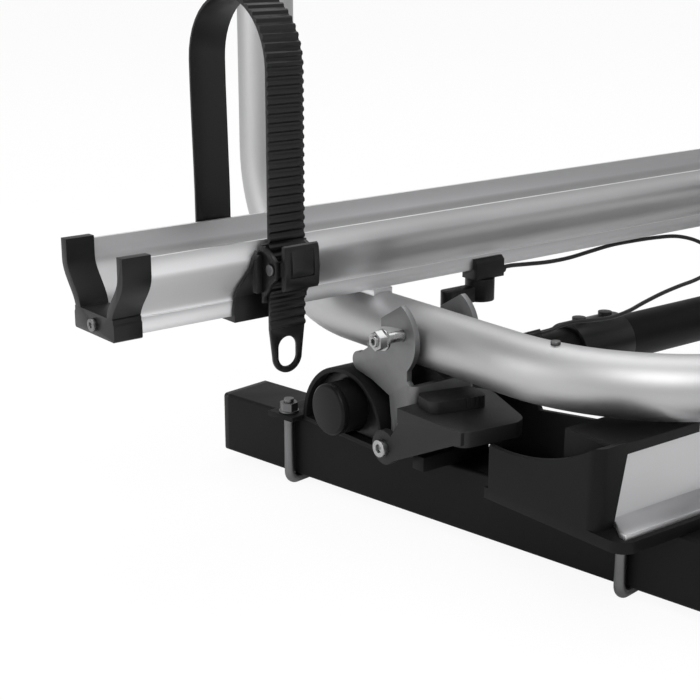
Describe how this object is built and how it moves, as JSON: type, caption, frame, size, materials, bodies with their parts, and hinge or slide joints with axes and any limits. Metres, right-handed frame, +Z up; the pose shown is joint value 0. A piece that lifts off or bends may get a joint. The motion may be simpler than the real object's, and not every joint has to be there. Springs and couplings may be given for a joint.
{
  "type": "caravan bike carrier",
  "caption": "Tilting bike carrier for a caravan's front frame: V-set base beams, round-tube hoop, wheel rail with ratchet straps, foot-pedal latch, restraint cable and clamp arm.",
  "frame": {"origin": "Under the middle of the whole carrier seen from above, at the height of its lowest point, the undersides of the U-bolts round the base beams.", "axes": "+X along the wheel rail, from the side with the pedal to the other side. +Y points back towards the caravan, away from the tilt axis at the front. +Z is up."},
  "size_m": [1.2408, 0.6032, 0.8741],
  "materials": {
    "black_coating": "satin black powder coating",
    "black_plastic": "moulded black plastic, fine grain",
    "black_rubber": "black rubber, matt",
    "strap_rubber": "flexible black plastic of the toothed straps",
    "cable_sheath": "smooth black sheath of the steel cable",
    "satin_aluminium": "satin anodised tube",
    "rail_aluminium": "satin anodised extrusion, drawn along its length",
    "profile_aluminium": "plain extruded aluminium",
    "zinc_steel": "dull zinc plating on punched sheet",
    "bolt_steel": "bright zinc plating or stainless steel"
  },
  "bodies": {
    "base": {"base_beam_left": "black_coating", "base_beam_right": "black_coating", "beam_plugs": "black_plastic", "rear_cross_tube": "black_coating", "cross_tube_caps": "black_plastic", "tube_cradles": "black_plastic", "saddle_left": "black_coating", "saddle_right": "black_coating", "rest_buffers": "black_rubber", "u_bolts": "zinc_steel", "u_bolt_nuts": "zinc_steel", "tube_sleeve": "black_plastic", "front_profile": "profile_aluminium", "front_bracket_left": "black_coating", "front_bracket_right": "black_coating", "bearing_blocks": "black_plastic", "bearing_caps": "black_plastic", "bearing_bolts": "bolt_steel", "latch_base": "black_coating", "latch_pivot_bolt": "bolt_steel", "latch_pivot_nut": "bolt_steel", "latch_spring": "bolt_steel", "cable_ferrule": "black_plastic", "anchor_bolt": "black_coating"},
    "latch": {"latch_hook": "zinc_steel", "foot_pedal": "black_plastic", "pedal_pad": "black_rubber"},
    "tilt_frame": {"hoop_leg_left": "satin_aluminium", "hoop_leg_right": "satin_aluminium", "hoop_front_bends": "satin_aluminium", "hoop_front_tube": "satin_aluminium", "hoop_rear_bends": "satin_aluminium", "hoop_uprights": "satin_aluminium", "hoop_top_bends": "satin_aluminium", "hoop_top_bar": "satin_aluminium", "cross_pin": "bolt_steel", "cross_pin_nut": "bolt_steel", "wheel_rail": "rail_aluminium", "rail_end_caps": "black_plastic", "end_cap_screws": "bolt_steel", "rail_seats": "rail_aluminium", "rail_bolts": "bolt_steel", "strap_holders": "black_plastic", "strap_anchors": "black_plastic", "buckle_frames": "black_plastic", "wheel_strap_left": "strap_rubber", "wheel_strap_right": "strap_rubber", "buckle_pins": "bolt_steel", "cable_clamp": "black_plastic", "restraint_cable": "cable_sheath"},
    "buckle_lever_left": {"buckle_lever_left": "black_plastic"},
    "buckle_lever_right": {"buckle_lever_right": "black_plastic"},
    "clamp_knob": {"clamp_knob": "black_plastic"},
    "bike_arm": {"arm_collar": "black_plastic", "arm_screw": "bolt_steel", "arm_tube": "black_coating", "arm_jaw": "black_coating", "jaw_pad": "black_rubber"},
    "clamp_screw": {"pressure_pad": "black_rubber", "arm_knob": "black_plastic"}
  },
  "joints": [
    {"name": "carrier_tilt", "type": "hinge", "parent": "base", "child": "tilt_frame", "pos_m": [0, -0.18289, 0.1446], "axis": [1, 0, 0], "range_deg": [0, 50]},
    {"name": "pedal_press", "type": "hinge", "parent": "base", "child": "latch", "pos_m": [-0.385, 0.04411, 0.0686], "axis": [1, 0, 0], "range_deg": [0, 20], "stiffness_Nm_per_rad": 1.5, "springref_deg": -17.19, "deforming": ["latch_spring"]},
    {"name": "lever_left", "type": "hinge", "parent": "tilt_frame", "child": "buckle_lever_left", "pos_m": [-0.49, 0.07231, 0.2081], "axis": [1, 0, 0], "range_deg": [0, 40]},
    {"name": "lever_right", "type": "hinge", "parent": "tilt_frame", "child": "buckle_lever_right", "pos_m": [0.49, 0.07231, 0.2081], "axis": [1, 0, 0], "range_deg": [0, 40]},
    {"name": "knob_turn", "type": "hinge", "parent": "tilt_frame", "child": "clamp_knob", "pos_m": [-0.279, 0.10891, 0.1621], "axis": [0, 0, 1], "continuous": true},
    {"name": "arm_swing", "type": "hinge", "parent": "tilt_frame", "child": "bike_arm", "pos_m": [0.06, 0.25411, 0.8446], "axis": [1, 0, 0], "range_deg": [-60, 60]},
    {"name": "jaw_screw", "type": "slide", "parent": "bike_arm", "child": "clamp_screw", "axis": [0, 1, 0], "range_m": [-0.02, 0.025]}
  ]
}
